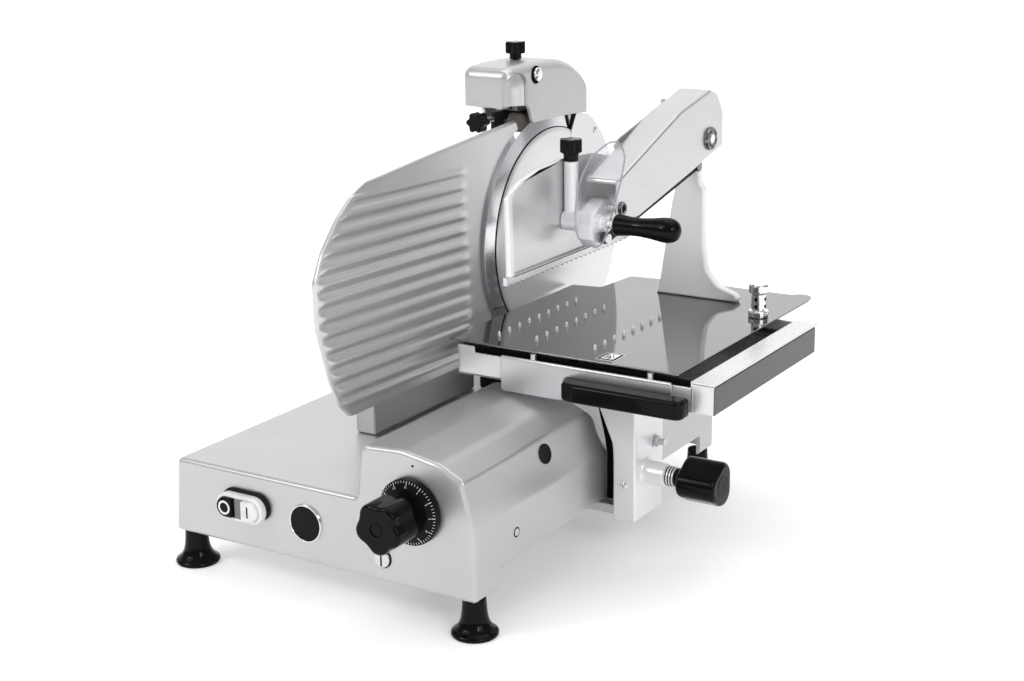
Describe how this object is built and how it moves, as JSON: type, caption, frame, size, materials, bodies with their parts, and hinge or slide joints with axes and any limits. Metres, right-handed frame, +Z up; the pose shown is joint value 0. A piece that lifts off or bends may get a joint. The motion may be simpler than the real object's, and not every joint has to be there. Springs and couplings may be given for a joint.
{
  "type": "deli meat slicer",
  "caption": "Straight-feed deli meat slicer: sliding carriage with a toothed table, levelling press arm with a shielded handle, ribbed gauge plate, round blade and top sharpener.",
  "frame": {"origin": "middle of the machine's footprint on the counter, under the feet", "axes": "+Z up, -Y towards the operator's panel with the dial and switch, +X towards the sliding table; the blade turns about X"},
  "size_m": [0.663, 0.789, 0.638],
  "materials": {
    "cast_aluminium": "satin, cast and anodised",
    "polished_stainless": "mirror polished stainless sheet",
    "brushed_stainless": "brushed stainless sheet",
    "blade_steel": "ground and polished",
    "machined_steel": "machined bar",
    "chrome_parts": "bright plated",
    "black_knobs": "glossy black moulding",
    "black_feet": "glossy black moulding",
    "switch_white": "white moulding",
    "dark_plastic": "matt black moulding",
    "motor_paint": "dark grey paint",
    "belt_rubber": "ribbed belt",
    "clear_shield": "clear moulded sheet",
    "abrasive": "bonded abrasive"
  },
  "bodies": {
    "base": {"base_casting": "cast_aluminium", "foot_front_right": "black_feet", "foot_front_left": "black_feet", "foot_rear_right": "black_feet", "foot_rear_left": "black_feet", "bottom_cover": "brushed_stainless", "cable_gland": "dark_plastic", "switch_bezel": "switch_white", "switch_box": "dark_plastic", "badge_plate": "black_knobs", "dial_lock_screw": "chrome_parts", "gauge_rail": "machined_steel", "blade_support": "cast_aluminium", "bearing_cartridge": "machined_steel", "drive_motor": "motor_paint", "drive_belt": "belt_rubber", "belt_cover": "cast_aluminium", "blade_cover": "cast_aluminium", "blade_guard": "cast_aluminium", "sharpener_cover": "cast_aluminium", "carriage_rail": "machined_steel"},
    "carriage": {"carriage_column": "cast_aluminium", "carriage_arm": "cast_aluminium", "tray_frame": "brushed_stainless", "apron_bracket": "brushed_stainless", "tray_handle": "black_knobs", "tray_rod_front": "machined_steel", "tray_rod_rear": "machined_steel"},
    "roller": {"track_roller": "machined_steel"},
    "column_clamp": {"column_knob": "black_knobs"},
    "table": {"table_plate": "polished_stainless", "plate_slider_front": "dark_plastic", "plate_slider_rear": "dark_plastic", "arm_post": "cast_aluminium"},
    "table_lock": {"table_lock_knob": "chrome_parts"},
    "press_arm": {"arm_cover": "brushed_stainless"},
    "arm_link": {"level_link": "brushed_stainless"},
    "press": {"press_carrier": "cast_aluminium", "press_plate": "brushed_stainless", "press_strip": "brushed_stainless", "hand_shield": "clear_shield"},
    "grip": {"handle_grip": "black_knobs"},
    "press_lock": {"press_knob": "black_knobs"},
    "gauge": {"gauge_plate": "cast_aluminium", "gauge_bracket": "cast_aluminium"},
    "dial": {"dial_ring": "black_knobs", "dial_knob": "black_knobs", "dial_shaft": "machined_steel"},
    "blade": {"blade_disc": "blade_steel", "blade_shaft": "machined_steel", "blade_pulley": "cast_aluminium"},
    "motor_pulley": {"motor_pulley": "cast_aluminium"},
    "cover_tie": {"cover_tie_knob": "black_knobs"},
    "stone_feed": {"stone_carrier": "motor_paint"},
    "grinding_stone": {"grinding_stone": "abrasive"},
    "honing_stone": {"honing_stone": "abrasive"},
    "stone_feed_knob": {"sharpener_side_knob": "black_knobs"},
    "sharpener_lock": {"sharpener_top_knob": "black_knobs"},
    "button_off": {"button_off": "black_knobs"},
    "button_on": {"button_on": "switch_white"}
  },
  "joints": [
    {"name": "carriage_slide", "type": "slide", "parent": "base", "child": "carriage", "axis": [0, 1, 0], "range_m": [-0.235, 0.21]},
    {"name": "roller_spin", "type": "hinge", "parent": "carriage", "child": "roller", "pos_m": [0.035, 0.0095, 0.096], "axis": [1, 0, 0], "continuous": true},
    {"name": "column_knob_turn", "type": "hinge", "parent": "carriage", "child": "column_clamp", "pos_m": [0.2665, -0.0005, 0.12], "axis": [1, 0, 0], "range_deg": [-360, 360]},
    {"name": "table_slide", "type": "slide", "parent": "carriage", "child": "table", "axis": [1, 0, 0], "range_m": [0, 0.155]},
    {"name": "table_lock_turn", "type": "hinge", "parent": "table", "child": "table_lock", "pos_m": [0.2565, 0.2155, 0.308], "axis": [0, 0, 1], "range_deg": [-360, 360]},
    {"name": "arm_swing", "type": "hinge", "parent": "table", "child": "press_arm", "pos_m": [0.1285, 0.2765, 0.507], "axis": [1, 0, 0], "range_deg": [-50, 20]},
    {"name": "link_swing", "type": "hinge", "parent": "table", "child": "arm_link", "pos_m": [0.1385, 0.2545, 0.4717], "axis": [1, 0, 0], "range_deg": [-51, 21]},
    {"name": "press_level", "type": "hinge", "parent": "press_arm", "child": "press", "pos_m": [0.1285, 0.0233, 0.455], "axis": [1, 0, 0], "range_deg": [-21, 51]},
    {"name": "grip_spin", "type": "hinge", "parent": "press", "child": "grip", "pos_m": [0.1965, -0.0065, 0.441], "axis": [1, 0, 0], "continuous": true},
    {"name": "press_knob_turn", "type": "hinge", "parent": "press", "child": "press_lock", "pos_m": [0.095, -0.0065, 0.528], "axis": [0, 0, 1], "range_deg": [-360, 360]},
    {"name": "gauge_slide", "type": "slide", "parent": "base", "child": "gauge", "axis": [1, 0, 0], "range_m": [-0.016, 0.006]},
    {"name": "dial_turn", "type": "hinge", "parent": "base", "child": "dial", "pos_m": [0.0615, -0.3425, 0.15], "axis": [0, 1, 0], "range_deg": [-201, 76]},
    {"name": "blade_spin", "type": "hinge", "parent": "base", "child": "blade", "pos_m": [-0.0665, 0.2085, 0.367], "axis": [1, 0, 0], "continuous": true},
    {"name": "motor_pulley_spin", "type": "hinge", "parent": "base", "child": "motor_pulley", "pos_m": [-0.1435, 0.2095, 0.099], "axis": [1, 0, 0], "continuous": true},
    {"name": "cover_tie_turn", "type": "hinge", "parent": "base", "child": "cover_tie", "pos_m": [-0.2035, 0.2085, 0.367], "axis": [1, 0, 0], "range_deg": [-1080, 0]},
    {"name": "stone_feed_slide", "type": "slide", "parent": "base", "child": "stone_feed", "axis": [1, 0, 0], "range_m": [0, 0.0045]},
    {"name": "grinding_spin", "type": "hinge", "parent": "stone_feed", "child": "grinding_stone", "pos_m": [-0.0815, 0.1485, 0.531], "axis": [1, 0, 0], "continuous": true},
    {"name": "honing_spin", "type": "hinge", "parent": "stone_feed", "child": "honing_stone", "pos_m": [-0.0815, 0.1825, 0.531], "axis": [1, 0, 0], "continuous": true},
    {"name": "feed_knob_turn", "type": "hinge", "parent": "base", "child": "stone_feed_knob", "pos_m": [-0.1035, 0.0805, 0.538], "axis": [0, 1, 0], "range_deg": [-1, 271]},
    {"name": "sharpener_knob_turn", "type": "hinge", "parent": "base", "child": "sharpener_lock", "pos_m": [-0.0995, 0.1775, 0.628], "axis": [0, 0, 1], "range_deg": [-360, 360]},
    {"name": "button_off_press", "type": "slide", "parent": "base", "child": "button_off", "axis": [0, 1, 0], "range_m": [0, 0.0025], "stiffness_N_per_m": 400},
    {"name": "button_on_press", "type": "slide", "parent": "base", "child": "button_on", "axis": [0, 1, 0], "range_m": [0, 0.0025], "stiffness_N_per_m": 400}
  ],
  "couplings": [
    {"joint": "roller_spin", "follows": "carriage_slide", "rad_per_m": 100},
    {"joint": "link_swing", "follows": "arm_swing", "ratio": 1},
    {"joint": "press_level", "follows": "arm_swing", "ratio": -1},
    {"joint": "dial_turn", "follows": "gauge_slide", "rad_per_m": 218},
    {"joint": "motor_pulley_spin", "follows": "blade_spin", "ratio": 1.8889},
    {"joint": "feed_knob_turn", "follows": "stone_feed_slide", "rad_per_m": 1047}
  ]
}
